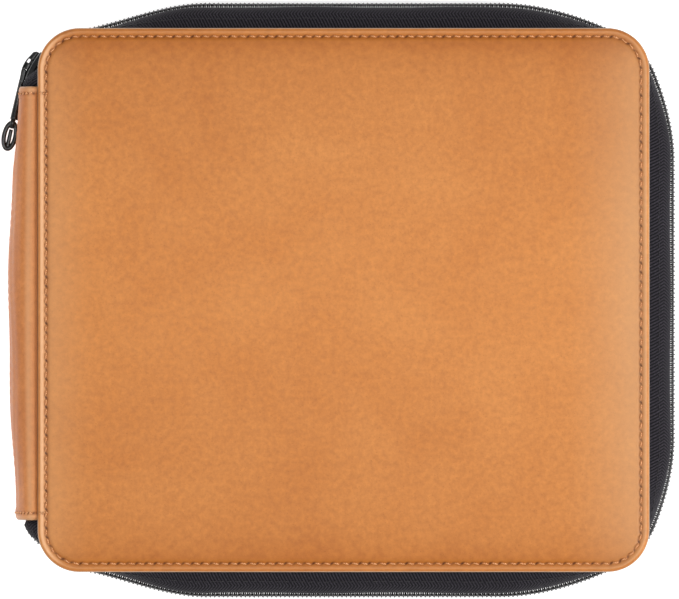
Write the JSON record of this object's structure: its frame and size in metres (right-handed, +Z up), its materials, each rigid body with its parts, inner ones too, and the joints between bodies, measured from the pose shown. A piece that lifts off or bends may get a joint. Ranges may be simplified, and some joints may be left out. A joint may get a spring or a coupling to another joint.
{
  "type": "zip-around leather organiser case",
  "caption": "Flat rectangular leather case with a soft spine and a coil zip round three sides; opens like a book with a loose leaf and elastic loop bands.",
  "frame": {"origin": "centre of the back cover's flat underside, on the surface the closed case lies on", "axes": "+X away from the spine, +Y towards the end where the zip closes, +Z up through the front cover"},
  "size_m": [0.249, 0.2198, 0.042],
  "materials": {
    "leather": "smooth saddle tan leather with fine pores and soft cloudy colour",
    "spine_leather": "soft saddle tan leather with fine wrinkles",
    "thread": "rust tan waxed thread",
    "padding": "thin pale foam",
    "board": "grey stiffening board",
    "lining": "black woven lining cloth",
    "elastic": "black ribbed elastic",
    "binding": "black grosgrain binding",
    "zip_tape": "black herringbone zip tape",
    "zip_coil": "black nylon coil, semi-gloss",
    "black_metal": "gloss black enamel on die-cast metal"
  },
  "bodies": {
    "back_cover": {"back_leather": "leather", "back_stitching": "thread", "back_padding": "padding", "back_board": "board", "back_lining": "lining", "back_loop_band": "elastic", "back_zip_tape": "zip_tape", "back_zip_coil": "zip_coil"},
    "spine": {"spine_leather": "spine_leather", "spine_lining": "lining", "leaf_hinge_strip": "lining"},
    "front_cover": {"front_leather": "leather", "front_stitching": "thread", "front_padding": "padding", "front_board": "board", "front_lining": "lining", "front_loop_band": "elastic", "front_zip_tape": "zip_tape", "front_zip_coil": "zip_coil"},
    "leaf": {"leaf_board": "board", "leaf_cloth_back": "lining", "leaf_cloth_front": "lining", "leaf_loop_band_back": "elastic", "leaf_loop_band_front": "elastic", "leaf_binding": "binding"},
    "slider": {"slider_body": "black_metal", "slider_crown": "black_metal"},
    "pull": {"pull_arm": "black_metal"},
    "ring": {"pull_ring": "black_metal"}
  },
  "joints": [
    {"name": "cover_open", "type": "hinge", "parent": "spine", "child": "front_cover", "pos_m": [-0.11335, 0, 0.042], "axis": [0, -1, 0], "range_deg": [0, 90]},
    {"name": "spine_fold", "type": "hinge", "parent": "back_cover", "child": "spine", "pos_m": [-0.11335, 0, 0], "axis": [0, -1, 0], "range_deg": [0, 90], "deforming": ["spine_leather", "spine_lining", "leaf_hinge_strip"]},
    {"name": "leaf_turn", "type": "hinge", "parent": "spine", "child": "leaf", "pos_m": [-0.1095, 0, 0.021], "axis": [0, -1, 0], "range_deg": [-67.5, 0]},
    {"name": "zip_travel", "type": "hinge", "parent": "back_cover", "child": "slider", "pos_m": [-0.0894, 0.0725, 0.021], "axis": [0, 0, -1], "range_deg": [0, 36], "deforming": ["back_zip_coil", "front_zip_coil"]},
    {"name": "pull_swing", "type": "hinge", "parent": "slider", "child": "pull", "pos_m": [-0.11873, 0.08513, 0.021], "axis": [0, 0, -1], "range_deg": [0, 140]},
    {"name": "ring_swing", "type": "hinge", "parent": "pull", "child": "ring", "pos_m": [-0.12295, 0.0658, 0.021], "axis": [0.977, -0.2133, 0], "range_deg": [-55, 55]}
  ],
  "couplings": [
    {"joint": "spine_fold", "follows": "cover_open", "ratio": 1},
    {"joint": "leaf_turn", "follows": "cover_open", "ratio": -0.75}
  ]
}
